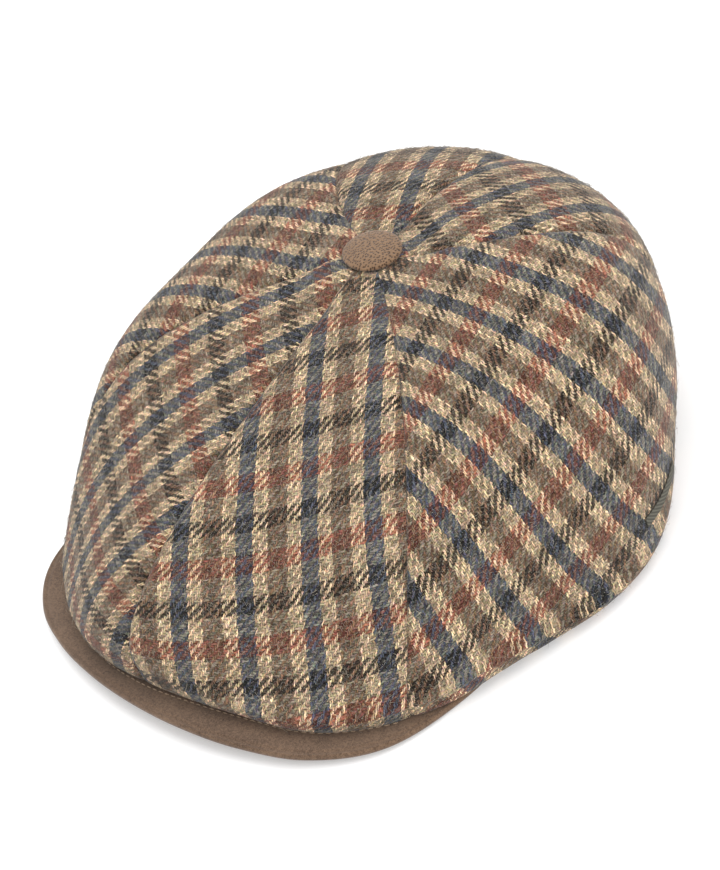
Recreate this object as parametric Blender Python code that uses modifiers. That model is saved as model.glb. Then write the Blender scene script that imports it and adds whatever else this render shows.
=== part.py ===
"""Six-panel flat cap with a stiff peak, a covered button and a small side label.

Units are metres. The cap rests on z = 0, its front faces -Y and its left side is +X.
Its pieces hang from an empty that brings the middle of its length to y = 0.
The crown is a soft shell: every point of it is given by an azimuth, counted from the
front towards the left side, and by how far it lies along a section that runs from the
button over the dome, round the lower lip and back under to the hem of the head hole.
"""

import math
from collections import namedtuple

import bpy
from mathutils import Matrix, Vector

MM = 0.001

# Crown sizes
CROWN_HEIGHT = 99.5 * MM
CROWN_FRONT = 148.0 * MM
CROWN_BACK = 124.5 * MM
CROWN_HALF_WIDTH = 129.5 * MM
CROWN_TOP_BACK = 22.0 * MM
CROWN_TOP_TILT = math.radians(9.3)
WALL = 2.0 * MM
PANEL_SWELL = 2.2 * MM
SEAM_DIP = 1.2 * MM
SWELL_POWER = 2.5
SWELL_START = 0.3
CENTRE_HOLE_SHARE = 0.03

# Where each stretch of a section ends, counted from the button
DOME_END = 1
LIP_END = 2
UNDER_END = 3
HEM_END = 4
STAND_END = 4.999

# Lower lip, hem and head hole
LIP_TURN = 6.5 * MM
LIP_DROP = 12.0 * MM
LIP_LIFT = 1.8 * MM
HEAD_LENGTH = 200.0 * MM
HEAD_WIDTH = 164.0 * MM
HEAD_BACK = 3.0 * MM
HEM_WIDTH = 6.0 * MM
HEM_STAND = 11.0 * MM

# Peak
PEAK_DEPTH = 56.5 * MM
PEAK_RISE = 8.5 * MM
PEAK_WALL = 2.6 * MM
PEAK_TIP_AZIMUTH = math.radians(80)

# Button and label
BUTTON_RADIUS = 12.0 * MM
BUTTON_DEPTH = 5.6 * MM
BUTTON_EDGE = 1.2 * MM
BUTTON_BASE_SHARE = 0.96
LABEL_LENGTH = 34.0 * MM
LABEL_WALL = 1.1 * MM
LABEL_AZIMUTH = math.radians(101.5)
LABEL_ALONG = 0.965
LABEL_SHARE = 0.018
LABEL_SLANT = 0.017

# Clearances between pieces
SEAM_GAP = 0.3 * MM
REST_GAP = 0.3 * MM
PEAK_SEAT_GAP = 0.45 * MM
PEAK_MARGIN = 6.0 * MM
PEAK_FADE = 14.0 * MM
PEAK_TIP_MARGIN = math.radians(5)
PEAK_TIP_FADE = math.radians(14)

# Mesh fineness
DOME_STEPS = 15
LIP_STEPS = 4
UNDER_STEPS = 6
PANEL_STEPS = 10
PEAK_STEPS = 48
PEAK_RINGS = 6
LABEL_STEPS = 8
LABEL_ROWS = 2
BUTTON_STEPS = 32
BUTTON_RINGS = 7
MERGE_DISTANCE = 0.01 * MM
NORMAL_STEP = 0.002

# Crown sections from front to back. reach scales the plan ellipse, edge is a share of
# the crown's height, near and far are shares of the section's length, and full is a
# share of the drop from the top to the edge.
CrownRow = namedtuple("CrownRow", "azimuth reach edge near far full")
CROWN_ROWS = (
    CrownRow(0, 1.000, 0.215, 0.33, 1.03, 0.44),
    CrownRow(30, 1.018, 0.124, 0.69, 0.87, 0.37),
    CrownRow(60, 1.000, 0.100, 0.78, 0.91, 0.79),
    CrownRow(90, 0.992, 0.063, 0.68, 0.95, 0.92),
    CrownRow(120, 0.917, 0.193, 0.56, 1.12, 1.18),
    CrownRow(150, 0.989, 0.324, 0.45, 1.06, 1.19),
    CrownRow(180, 1.000, 0.368, 0.61, 1.03, 1.03),
)

# Peak outline round the head hole. reach is a share of the peak's depth and rise is a
# share of its rise at the front.
PeakRow = namedtuple("PeakRow", "azimuth reach rise")
PEAK_ROWS = (
    PeakRow(0, 1.000, 1.00),
    PeakRow(10, 1.025, 0.94),
    PeakRow(20, 1.090, 0.77),
    PeakRow(30, 1.160, 0.52),
    PeakRow(40, 1.140, 0.32),
    PeakRow(50, 0.950, 0.20),
    PeakRow(60, 0.720, 0.17),
    PeakRow(70, 0.360, 0.16),
    PeakRow(80, 0.070, 0.16),
)

# Seams from front to back: azimuth at the button, where the six gores are equal, and
# at the crown's edge.
SeamRow = namedtuple("SeamRow", "top edge")
SEAM_ROWS = (
    SeamRow(0, 0),
    SeamRow(60, 45),
    SeamRow(120, 148),
    SeamRow(180, 180),
)
PANEL_NAMES = ("front_panel", "side_panel", "back_panel")

# Colour, roughness and metallic value of each material
FINISHES = {
    "wool_check": ((0.22, 0.17, 0.12, 1.0), 0.95, 0.0),
    "suede": ((0.10, 0.065, 0.042, 1.0), 0.9, 0.0),
    "button_suede": ((0.26, 0.17, 0.12, 1.0), 0.9, 0.0),
    "label_cloth": ((0.02, 0.02, 0.018, 1.0), 0.8, 0.0),
}


def row_value(rows, column, angle):
    """Smooth value of a column at an angle, for rows at equal steps from the front."""
    values = [getattr(row, column) for row in rows]
    step = math.radians(rows[1].azimuth - rows[0].azimuth)
    place = min(abs(angle) / step, len(values) - 1.0)
    index = min(int(place), len(values) - 2)
    t = place - index
    before = values[index - 1] if index else values[1]
    start = values[index]
    end = values[index + 1]
    after = values[index + 2] if index + 2 < len(values) else values[-2]
    slope_start = (end - before) / 2
    slope_end = (after - start) / 2
    rise = end - start
    return (
        start
        + slope_start * t
        + (3 * rise - 2 * slope_start - slope_end) * t * t
        + (slope_start + slope_end - 2 * rise) * t * t * t
    )


def smooth(share):
    """Ease from 0 to 1."""
    share = min(max(share, 0.0), 1.0)
    return share * share * (3 - 2 * share)


def fold_angle(angle):
    """Bring an azimuth to the range 0 to pi, the same on both sides."""
    return abs((angle + math.pi) % (2 * math.pi) - math.pi)


def head_radius(azimuth):
    """Distance from the head hole's centre to its rim."""
    along = math.cos(azimuth) / (HEAD_LENGTH / 2)
    across = math.sin(azimuth) / (HEAD_WIDTH / 2)
    return 1 / math.hypot(along, across)


def head_point(azimuth, radius, z):
    """Point at an azimuth and a radius round the head hole's centre."""
    return Vector((radius * math.sin(azimuth), HEAD_BACK - radius * math.cos(azimuth), z))


def peak_reach(azimuth):
    """How far the peak stands out from the head hole."""
    return PEAK_DEPTH * row_value(PEAK_ROWS, "reach", fold_angle(azimuth))


def peak_middle(azimuth, share):
    """Height of the middle of the peak's wall, from its root to its edge."""
    rise = PEAK_RISE * row_value(PEAK_ROWS, "rise", fold_angle(azimuth))
    root = PEAK_WALL / 2
    edge = max(rise, root)
    return root + (edge - root) * share


def floor_height(point, table_gap):
    """Lowest z that the crown may have here: on the peak, or above the table."""
    offset_x = point.x
    offset_y = HEAD_BACK - point.y
    azimuth = math.atan2(offset_x, offset_y)
    reach = peak_reach(min(abs(azimuth), PEAK_TIP_AZIMUTH))
    beyond = math.hypot(offset_x, offset_y) - head_radius(azimuth)
    share = min(max(beyond / reach, 0.0), 1.0)
    inside = 1 - smooth((beyond - reach - PEAK_MARGIN) / PEAK_FADE)
    inside *= 1 - smooth((abs(azimuth) - PEAK_TIP_AZIMUTH - PEAK_TIP_MARGIN) / PEAK_TIP_FADE)
    peak_top = peak_middle(min(abs(azimuth), PEAK_TIP_AZIMUTH), share) + PEAK_WALL / 2
    return table_gap + (max(peak_top + PEAK_SEAT_GAP, table_gap) - table_gap) * inside


def crown_edge(azimuth):
    """Widest point of the crown at an azimuth round the cap's middle."""
    angle = fold_angle(azimuth)
    length = CROWN_FRONT if angle < math.pi / 2 else CROWN_BACK
    ellipse = math.hypot(length * math.cos(angle), CROWN_HALF_WIDTH * math.sin(angle))
    reach = ellipse * row_value(CROWN_ROWS, "reach", angle)
    z = CROWN_HEIGHT * row_value(CROWN_ROWS, "edge", angle)
    return Vector((reach * math.sin(azimuth), -reach * math.cos(azimuth), z))


def dome_point(azimuth, share):
    """Point of the dome, from the button at 0 to the edge at 1."""
    edge = crown_edge(azimuth)
    top = Vector((0, CROWN_TOP_BACK, CROWN_HEIGHT))
    angle = fold_angle(azimuth)
    near = row_value(CROWN_ROWS, "near", angle)
    far = row_value(CROWN_ROWS, "far", angle)
    full = row_value(CROWN_ROWS, "full", angle)
    run = Vector((edge.x - top.x, edge.y - top.y, 0))
    slope = math.tan(CROWN_TOP_TILT) * run.y / run.length
    near_point = top + near * (run + Vector((0, 0, run.length * slope)))
    far_point = top + far * run
    far_point.z = edge.z + full * (top.z - edge.z)
    left = 1 - share
    return (
        top * left**3
        + near_point * 3 * left * left * share
        + far_point * 3 * left * share * share
        + edge * share**3
    )


def section_point(azimuth, along):
    """Point of the crown's outer face without the swell of its panels.

    along runs 0 to 1 over the dome, 1 to 2 round the lip, 2 to 3 along the underside
    to the hem's outer line, 3 to 4 across the hem and 4 to 5 up its standing part.
    """
    if along <= DOME_END:
        return dome_point(azimuth, along)
    edge = crown_edge(azimuth)
    inward = Vector((-edge.x, CROWN_TOP_BACK - edge.y, 0)).normalized()
    lip_end = edge + inward * LIP_TURN
    lip_end.z = max(edge.z - LIP_DROP, floor_height(lip_end, LIP_LIFT))
    if along <= LIP_END:
        turn = (along - DOME_END) * math.pi / 2
        point = edge + inward * LIP_TURN * (1 - math.cos(turn))
        point.z = edge.z - (edge.z - lip_end.z) * math.sin(turn)
        return point
    head_azimuth = math.atan2(edge.x, HEAD_BACK - edge.y)
    rim = head_radius(head_azimuth)
    hem_outer = head_point(head_azimuth, rim + HEM_WIDTH, 0)
    hem_outer.z = floor_height(hem_outer, 0)
    if along <= UNDER_END:
        share = along - LIP_END
        point = lip_end.lerp(hem_outer, share)
        sag = lip_end.z + (hem_outer.z - lip_end.z) * smooth(share)
        point.z = max(sag, floor_height(point, 0))
        return point
    hem_inner = head_point(head_azimuth, rim, hem_outer.z)
    if along <= HEM_END:
        return hem_outer.lerp(hem_inner, along - UNDER_END)
    return hem_inner + Vector((0, 0, HEM_STAND * (along - HEM_END)))


def seam_azimuth(seam, along):
    """Azimuth of a seam, equal round the button and its own at the edge."""
    share = min(along, DOME_END)
    return math.radians(seam.top + (seam.edge - seam.top) * share)


def panel_azimuth(front_seam, back_seam, across, along):
    """Azimuth between two seams, from 0 at the front one to 1 at the back one."""
    start = seam_azimuth(front_seam, along)
    end = seam_azimuth(back_seam, along)
    return start + (end - start) * across


def outer_normal(azimuth, along):
    """Direction that points out of the crown's face."""
    before = section_point(azimuth, max(along - NORMAL_STEP, 0.0))
    after = section_point(azimuth, along + NORMAL_STEP)
    left = section_point(azimuth - NORMAL_STEP, along)
    right = section_point(azimuth + NORMAL_STEP, along)
    return (after - before).cross(right - left).normalized()


def panel_point(front_seam, back_seam, across, along):
    """Point of a panel's outer face, raised between its seams."""
    azimuth = panel_azimuth(front_seam, back_seam, across, along)
    point = section_point(azimuth, along)
    if along >= LIP_END:
        return point
    rise = PANEL_SWELL * (1 - abs(2 * across - 1) ** SWELL_POWER) - SEAM_DIP
    start_fade = smooth(along / SWELL_START)
    lip_fade = 1 - smooth(along - DOME_END)
    return point + outer_normal(azimuth, along) * rise * start_fade * lip_fade


def section_steps():
    """Places along a section where a panel's mesh has its rows."""
    rows = []
    for index in range(DOME_STEPS + 1):
        share = index / DOME_STEPS
        rows.append(CENTRE_HOLE_SHARE + (DOME_END - CENTRE_HOLE_SHARE) * share)
    rows += [DOME_END + (index + 1) / LIP_STEPS for index in range(LIP_STEPS)]
    rows += [LIP_END + (index + 1) / UNDER_STEPS for index in range(UNDER_STEPS)]
    rows += [HEM_END, STAND_END]
    return rows


def object_from_grid(name, grid, finish, collection, flip):
    """Open surface with one quad between neighbouring points of a grid."""
    columns = len(grid[0])
    vertices = [point for row in grid for point in row]
    faces = []
    for row in range(len(grid) - 1):
        for column in range(columns - 1):
            corner = row * columns + column
            face = (corner, corner + columns, corner + columns + 1, corner + 1)
            faces.append(face[::-1] if flip else face)
    mesh = bpy.data.meshes.new(name)
    mesh.from_pydata(vertices, [], faces)
    mesh.update()
    mesh.shade_smooth()
    piece = bpy.data.objects.new(name, mesh)
    collection.objects.link(piece)
    piece.data.materials.append(material(finish))
    return piece


def thicken(piece, wall, offset):
    """Give an open surface its wall."""
    solidify = piece.modifiers.new("wall", "SOLIDIFY")
    solidify.thickness = wall
    solidify.offset = offset
    solidify.use_even_offset = True
    solidify.use_rim = True


def material(finish):
    """Principled material of a finish, made once."""
    if finish in bpy.data.materials:
        return bpy.data.materials[finish]
    colour, roughness, metallic = FINISHES[finish]
    result = bpy.data.materials.new(finish)
    result.use_nodes = True
    shader = result.node_tree.nodes["Principled BSDF"]
    shader.inputs["Base Color"].default_value = colour
    shader.inputs["Roughness"].default_value = roughness
    shader.inputs["Metallic"].default_value = metallic
    return result


def make_frame(collection):
    """Empty that centres the cap between the peak's front and the crown's back."""
    peak_front = HEAD_LENGTH / 2 + PEAK_DEPTH - HEAD_BACK
    frame = bpy.data.objects.new("cap_frame", None)
    frame.location.y = (peak_front - CROWN_BACK) / 2
    collection.objects.link(frame)
    return frame


def make_panel(name, front_seam, back_seam, side, collection):
    """One gore of the crown, from the button to the hem."""
    grid = []
    for along in section_steps():
        first = section_point(panel_azimuth(front_seam, back_seam, 0, along), along)
        last = section_point(panel_azimuth(front_seam, back_seam, 1, along), along)
        margin = SEAM_GAP / 2 / (last - first).length
        row = []
        for index in range(PANEL_STEPS + 1):
            across = margin + (1 - 2 * margin) * index / PANEL_STEPS
            point = panel_point(front_seam, back_seam, across, along)
            row.append(Vector((point.x * side, point.y, point.z)))
        grid.append(row)
    panel = object_from_grid(name, grid, "wool_check", collection, side < 0)
    thicken(panel, WALL, -1)


def make_crown(collection):
    """Three panels on each side."""
    for side, word in ((1, "left"), (-1, "right")):
        for index, base in enumerate(PANEL_NAMES):
            make_panel(f"{base}_{word}", SEAM_ROWS[index], SEAM_ROWS[index + 1], side, collection)


def make_peak(collection):
    """Stiff crescent in front of the head hole."""
    grid = []
    for ring in range(PEAK_RINGS + 1):
        share = ring / PEAK_RINGS
        row = []
        for index in range(PEAK_STEPS + 1):
            azimuth = PEAK_TIP_AZIMUTH * (2 * index / PEAK_STEPS - 1)
            radius = head_radius(azimuth) + peak_reach(azimuth) * share
            row.append(head_point(azimuth, radius, peak_middle(azimuth, share)))
        grid.append(row)
    peak = object_from_grid("peak", grid, "suede", collection, False)
    thicken(peak, PEAK_WALL, 0)


def make_button(collection):
    """Covered button, a turned dome that follows the crown's tilt."""
    profile = [(0.0, BUTTON_DEPTH)]
    for index in range(BUTTON_RINGS):
        turn = (index + 1) / BUTTON_RINGS * math.pi / 2
        z = BUTTON_EDGE + (BUTTON_DEPTH - BUTTON_EDGE) * math.cos(turn)
        profile.append((BUTTON_RADIUS * math.sin(turn), z))
    profile += [(BUTTON_RADIUS * BUTTON_BASE_SHARE, 0.0), (0.0, 0.0)]
    mesh = bpy.data.meshes.new("button")
    edges = [(index, index + 1) for index in range(len(profile) - 1)]
    mesh.from_pydata([(radius, 0, z) for radius, z in profile], edges, [])
    button = bpy.data.objects.new("button", mesh)
    collection.objects.link(button)
    screw = button.modifiers.new("turn", "SCREW")
    screw.steps = BUTTON_STEPS
    screw.render_steps = BUTTON_STEPS
    screw.use_merge_vertices = True
    screw.merge_threshold = MERGE_DISTANCE
    screw.use_smooth_shade = True
    mesh.materials.append(material("button_suede"))
    tilt = Matrix.Rotation(CROWN_TOP_TILT, 4, "X")
    seat = Vector((0, CROWN_TOP_BACK, CROWN_HEIGHT)) + tilt @ Vector((0, 0, REST_GAP))
    button.location = seat
    button.rotation_euler = (CROWN_TOP_TILT, 0, 0)


def make_label(collection):
    """Plain narrow tag sewn flat above the crown's edge on the left side.

    LABEL_SHARE is its width as a share of the section, and LABEL_SLANT how far each end
    lies up or down from the middle.
    """
    reach = crown_edge(LABEL_AZIMUTH).length
    half_angle = LABEL_LENGTH / 2 / reach
    front_seam, back_seam = SEAM_ROWS[1], SEAM_ROWS[2]
    grid = []
    for row_index in range(LABEL_ROWS + 1):
        middle = LABEL_ALONG + LABEL_SHARE * (row_index / LABEL_ROWS - 0.5)
        row = []
        for index in range(LABEL_STEPS + 1):
            aside = 2 * index / LABEL_STEPS - 1
            along = middle + LABEL_SLANT * aside
            first = seam_azimuth(front_seam, along)
            last = seam_azimuth(back_seam, along)
            azimuth = LABEL_AZIMUTH + half_angle * aside
            across = (azimuth - first) / (last - first)
            point = panel_point(front_seam, back_seam, across, along)
            row.append(point + outer_normal(azimuth, along) * REST_GAP)
        grid.append(row)
    label = object_from_grid("label", grid, "label_cloth", collection, False)
    thicken(label, LABEL_WALL, 1)


def main():
    """Build the cap from an empty scene."""
    for item in list(bpy.data.objects):
        bpy.data.objects.remove(item, do_unlink=True)
    collection = bpy.data.collections.new("flat_cap")
    bpy.context.scene.collection.children.link(collection)
    make_crown(collection)
    make_peak(collection)
    make_button(collection)
    make_label(collection)
    pieces = list(collection.objects)
    frame = make_frame(collection)
    for piece in pieces:
        piece.parent = frame


main()
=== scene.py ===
import math

import bpy
import numpy as np
from mathutils import Matrix, Vector


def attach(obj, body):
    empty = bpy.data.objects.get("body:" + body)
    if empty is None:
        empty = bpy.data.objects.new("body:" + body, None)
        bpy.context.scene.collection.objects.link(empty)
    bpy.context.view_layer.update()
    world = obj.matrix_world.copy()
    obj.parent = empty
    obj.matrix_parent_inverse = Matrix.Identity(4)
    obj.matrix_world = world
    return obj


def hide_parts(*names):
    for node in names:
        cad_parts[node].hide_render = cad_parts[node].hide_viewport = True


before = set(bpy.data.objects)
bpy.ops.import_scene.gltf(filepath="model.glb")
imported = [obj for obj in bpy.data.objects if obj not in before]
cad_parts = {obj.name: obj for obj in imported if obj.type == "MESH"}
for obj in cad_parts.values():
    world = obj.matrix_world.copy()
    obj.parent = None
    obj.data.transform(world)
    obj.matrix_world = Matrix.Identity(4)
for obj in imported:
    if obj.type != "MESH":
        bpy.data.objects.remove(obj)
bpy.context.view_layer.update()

MM = 0.001

# Main sizes. They are the CAD model's, but for a lower swell and a narrower label.
CROWN_HEIGHT = 99.5 * MM
CROWN_FRONT = 148.0 * MM
CROWN_BACK = 124.5 * MM
CROWN_HALF_WIDTH = 129.5 * MM
CROWN_TOP_BACK = 22.0 * MM
CROWN_TOP_TILT = math.radians(9.3)
PANEL_SWELL = 1.7 * MM
SWELL_POWER = 2.5
SWELL_START = 0.3
CENTRE_HOLE_SHARE = 0.03
LIP_TURN = 6.5 * MM
LIP_DROP = 12.0 * MM
LIP_LIFT = 1.8 * MM
HEAD_LENGTH = 200.0 * MM
HEAD_WIDTH = 164.0 * MM
HEAD_BACK = 3.0 * MM
HEM_WIDTH = 6.0 * MM
HEM_STAND = 11.0 * MM
PEAK_DEPTH = 56.5 * MM
PEAK_RISE = 8.5 * MM
PEAK_WALL = 2.6 * MM
PEAK_TIP_AZIMUTH = math.radians(80)
PEAK_SEAT_GAP = 0.45 * MM
PEAK_MARGIN = 6.0 * MM
PEAK_FADE = 14.0 * MM
PEAK_TIP_MARGIN = math.radians(5)
PEAK_TIP_FADE = math.radians(14)
BUTTON_RADIUS = 12.0 * MM
LABEL_LENGTH = 34.0 * MM
LABEL_AZIMUTH = math.radians(101.5)
LABEL_ALONG = 0.965
LABEL_SHARE = 0.016
LABEL_SLANT = 0.017
FRAME_SHIFT = (HEAD_LENGTH / 2 + PEAK_DEPTH - HEAD_BACK - CROWN_BACK) / 2

# Where each stretch of a section ends, counted from the button
DOME_END = 1
LIP_END = 2
UNDER_END = 3
HEM_END = 4
STAND_END = 4.999

# Columns of the crown sections every 30 degrees from the front to the back
CROWN_STEP = math.radians(30)
CROWN_ROWS = {
    "reach": (1.000, 1.018, 1.000, 0.992, 0.917, 0.989, 1.000),
    "edge": (0.215, 0.124, 0.100, 0.063, 0.193, 0.324, 0.368),
    "near": (0.33, 0.69, 0.78, 0.68, 0.56, 0.45, 0.61),
    "far": (1.03, 0.87, 0.91, 0.95, 1.12, 1.06, 1.03),
    "full": (0.44, 0.37, 0.79, 0.92, 1.18, 1.19, 1.03),
}
# Columns of the peak's outline every 10 degrees from its middle
PEAK_STEP = math.radians(10)
PEAK_ROWS = {
    "reach": (1.000, 1.025, 1.090, 1.160, 1.140, 0.950, 0.720, 0.360, 0.070),
    "rise": (1.00, 0.94, 0.77, 0.52, 0.32, 0.20, 0.17, 0.16, 0.16),
}
# Azimuth of each seam at the button and at the edge, in degrees
SEAMS = ((0, 0), (60, 45), (120, 148), (180, 180))
NORMAL_STEP = 0.002

# Fine relief of the cloth: the valley at each seam and the puckers beside it
CLOTH_WALL = 1.6 * MM
SEAM_SINK = 0.3 * MM
GROOVE_DEPTH = 0.9 * MM
GROOVE_WIDTH = 1.3 * MM
GROOVE_POWER = 1.4
PUCKER_DEPTH = 0.13 * MM
PUCKER_LENGTH = 9.0 * MM
PUCKER_REACH = 6.0 * MM
PUCKER_DRIFT = 1.7
PUCKER_DRIFT_LENGTH = 23.0 * MM
RELIEF_FADE = 14.0 * MM
RELIEF_END = 1.6

# How far the soft front edge lies out of its even shape, in millimetres, every 10 degrees
# from the wearer's right to the left, and how much of that it also drops
EDGE_START = math.radians(-60)
EDGE_STEP = math.radians(10)
EDGE_ROWS = {
    "offset": (0, 1.0, 1.0, -2.2, -2.3, -1.3, -2.6, -4.8, -3.9, 0.6, 2.4, 2.4, -0.3, -1.4, 0),
}
EDGE_DROP = 0.4
EDGE_RISES_FROM = 0.5
# How far the front edge's turn is let out, so that it meets the peak without a gap, and
# over which azimuths this fades
TURN_LET_OUT = 3.6 * MM
TURN_FADE_START = math.radians(60)
TURN_FADE = math.radians(25)

# Slopes by which the cloth under the button leans to the wearer's left and to the back,
# and how far from the crown's top they hold and end
BUTTON_LEAN_LEFT = 0.13
BUTTON_LEAN_BACK = 0.15
BUTTON_LEAN_FULL = 9.0 * MM
BUTTON_LEAN_END = 34.0 * MM

# Mesh fineness, the share of even spacing in a panel's columns, and where the coarser grid
# that is laid flat has its rows
DOME_ROWS = 97
LIP_ROWS = 17
UNDER_ROWS = 13
HEM_ROWS = 4
STAND_ROWS = 5
PANEL_COLUMNS = 97
EVEN_SHARE = 0.35
FLAT_DOME_ROWS = 20
FLAT_LIP_PLACES = (0.125, 0.375, 0.625, 0.875)
FLAT_COLUMNS = 16
FLAT_ROUNDS = 60

# The weave: after how many yarns its stripes repeat, how wide a yarn is, and how many
# yarns each colour has before the next
WARP_REPEAT = 27
WEFT_REPEAT = 33
WARP_PITCH = 25.44 * MM / WARP_REPEAT
WEFT_PITCH = 31.73 * MM / WEFT_REPEAT
WARP_BANDS = (("blue", 7), ("cream", 6), ("taupe", 8), ("cream", 6))
WEFT_BANDS = (("dark", 7), ("sand", 9), ("rust", 8), ("sand", 9))
REPEATS_ASIDE = 20

# How the check lies on each panel: its turn in degrees, its place along both thread
# directions in millimetres, and how the threads bend in the pressed cloth. The bends
# are millimetres for each term of bend_terms.
NO_BEND = (0, 0, 0, 0, 0, 0, 0)
PANELS = {
    "front_panel_left": (0, 1, 17.2, -69.2, -39.1,
                         (-1.8, 1.3, 2.4, -0.5, -5.8, 0.5, -1.3),
                         (-2.3, 0.2, 4.4, 13.4, 10.5, -0.2, 2.6)),
    "side_panel_left": (1, 1, 4.8, -63.4, -38.9,
                        (-8.5, -22.1, 18.6, -11.6, 12.0, -25.4, 13.6),
                        (6.6, 16.1, -1.6, 8.2, -4.1, 9.3, 0.4)),
    "back_panel_left": (2, 1, -9.0, -29.0, -19.7,
                        (-2.7, -4.1, -2.2, 1.0, 2.2, 5.0, 11.4), NO_BEND),
    "front_panel_right": (0, -1, 155.9, -76.2, 27.2,
                          (-3.9, -5.4, 11.5, 8.0, 0.4, -6.6, 1.8),
                          (6.2, -3.8, -3.4, 1.9, -7.6, 4.1, -4.1)),
    "side_panel_right": (1, -1, 186.2, -37.7, 23.4,
                         (-3.2, 4.3, -1.5, -0.7, 0.3, -0.3, -1.5), NO_BEND),
    "back_panel_right": (2, -1, 9.3, -8.3, -4.0, NO_BEND, NO_BEND),
}
BEND_UNIT = 100 * MM

# Thread that sews the crown down on the peak. STITCH_SINK is how high its middle lies, and
# STITCH_END how blunt its ends are, both against its radius.
STITCH_LENGTH = 2.1 * MM
STITCH_PITCH = 3.1 * MM
STITCH_RADIUS = 0.24 * MM
STITCH_INSET = 1.2 * MM
STITCH_LAST_AZIMUTH = math.radians(44)
STITCH_SINK = 0.6
STITCH_END = 0.02
STITCH_CORNERS = 6
STITCH_RINGS = 7
STITCH_ROUTE_POINTS = 800

# Stray fibres of the wool: how far down the crown they grow, their length, lift, curl and
# arch as shares of the length, and where along each its rings and its tip lie
FIBRE_LAST_ROW = 1.5
FIBRES_A_PANEL = 3400
FIBRE_LENGTHS = (1.2 * MM, 4.6 * MM)
FIBRE_WIDTH = 0.12 * MM
FIBRE_LIFT = (0.04, 0.28)
FIBRE_CURL = 0.55
FIBRE_ARCH = 2.2
FIBRE_CORNERS = 3
FIBRE_STEPS = (0.0, 0.35, 0.7, 1.0)
FIBRE_SEED = 7

# Fine form of the peak, with the seam that runs beside its rim
PEAK_COLUMNS = 241
PEAK_TOP_ROWS = 60
PEAK_RIM_ROWS = 12
PEAK_ROW_POWER = 0.8
PEAK_EDGE_SEAM = 2.2 * MM
PEAK_EDGE_WIDTH = 0.5 * MM
PEAK_EDGE_DEPTH = 0.35 * MM
PEAK_EDGE_FADE = 8.0 * MM

# Fine form of the button, and the gathers round its edge
BUTTON_HEIGHT = 3.1 * MM
BUTTON_RIM = 1.2 * MM
BUTTON_ROUND_POWER = 0.9
BUTTON_FLAT_POWER = 0.8
BUTTON_UNDERCUT = 0.1
BUTTON_LIFT = 0.3 * MM
GATHER_DEPTH = 0.006
GATHER_COUNT = 9
GATHER_START = 0.7
BUTTON_CENTRE = 0.02
BUTTON_RINGS = 28
BUTTON_SIDE_RINGS = 8
BUTTON_COLUMNS = 96

# Fine form of the label
LABEL_ROWS = 13
LABEL_COLUMNS = 97
LABEL_WALL = 0.45 * MM
LABEL_GAP = 0.25 * MM

# Camera and photo size, in pixels
CAMERA_AZIMUTH = math.radians(56)
CAMERA_ELEVATION = math.radians(36)
CAMERA_ROLL = math.radians(-19.5)
CAMERA_DISTANCE = 0.8
CAMERA_TARGET = Vector((0, -0.0005, 0.050))
FOCAL_PIXELS = 2004.0
PHOTO_WIDTH = 720
PHOTO_HEIGHT = 870
TARGET_PIXEL_X = 343.7
TARGET_PIXEL_Y = 404.8

# Floor, and each lamp's name, place, size in metres and power in watts
FLOOR_HALF = 4.0
FLOOR_COLOUR = (0.75, 0.75, 0.75, 1)
FLOOR_GLOW = 0.25
SKY_STRENGTH = 1.0
LAMP_TARGET = Vector((0, 0, 0.05))
LAMPS = (
    ("key", (0.3, 0.2, 2.0), 1.8, 14.0),
    ("fill", (1.8, 0.0, 0.95), 1.6, 15.5),
    ("back", (-1.1, 0.2, 1.5), 1.6, 10.0),
)


def row_value(rows, column, step, angle):
    """Smooth value of a column at angles, for rows at equal steps from the front."""
    values = np.array(rows[column])
    last = len(values) - 1
    place = np.minimum(np.abs(angle) / step, float(last))
    index = np.minimum(place.astype(int), last - 1)
    t = place - index
    before = np.where(index > 0, values[np.maximum(index - 1, 0)], values[1])
    start = values[index]
    end = values[index + 1]
    after = np.where(index + 2 <= last, values[np.minimum(index + 2, last)], values[-2])
    slope_start = (end - before) / 2
    slope_end = (after - start) / 2
    rise = end - start
    bend = 3 * rise - 2 * slope_start - slope_end
    twist = slope_start + slope_end - 2 * rise
    return start + slope_start * t + bend * t * t + twist * t * t * t


def smooth(share):
    """Ease from 0 to 1."""
    share = np.clip(share, 0.0, 1.0)
    return share * share * (3 - 2 * share)


def fold_angle(angle):
    """Bring azimuths to the range 0 to pi, the same on both sides."""
    return np.abs((angle + math.pi) % (2 * math.pi) - math.pi)


def points(x, y, z):
    """Array of points from arrays of coordinates."""
    return np.stack(np.broadcast_arrays(x, y, z), axis=-1)


def running_length(grid, axis):
    """Distance run along an axis of a grid of points, from 0."""
    steps = np.linalg.norm(np.diff(grid, axis=axis), axis=-1)
    return np.insert(np.cumsum(steps, axis=axis), 0, 0.0, axis=axis)


def grid_quads(rows, columns):
    """Numbers of the four points of each cell of a grid."""
    index = np.arange(rows * columns).reshape(rows, columns)
    corners = (index[:-1, :-1], index[1:, :-1], index[1:, 1:], index[:-1, 1:])
    return np.stack(corners, -1).reshape(-1, 4)


def unit(vectors):
    """Vectors scaled to length 1."""
    return vectors / np.linalg.norm(vectors, axis=-1, keepdims=True)


def head_radius(azimuth):
    """Distance from the head hole's centre to its rim."""
    along = np.cos(azimuth) / (HEAD_LENGTH / 2)
    across = np.sin(azimuth) / (HEAD_WIDTH / 2)
    return 1 / np.hypot(along, across)


def head_point(azimuth, radius, z):
    """Points at azimuths and radii round the head hole's centre."""
    return points(radius * np.sin(azimuth), HEAD_BACK - radius * np.cos(azimuth), z)


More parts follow.
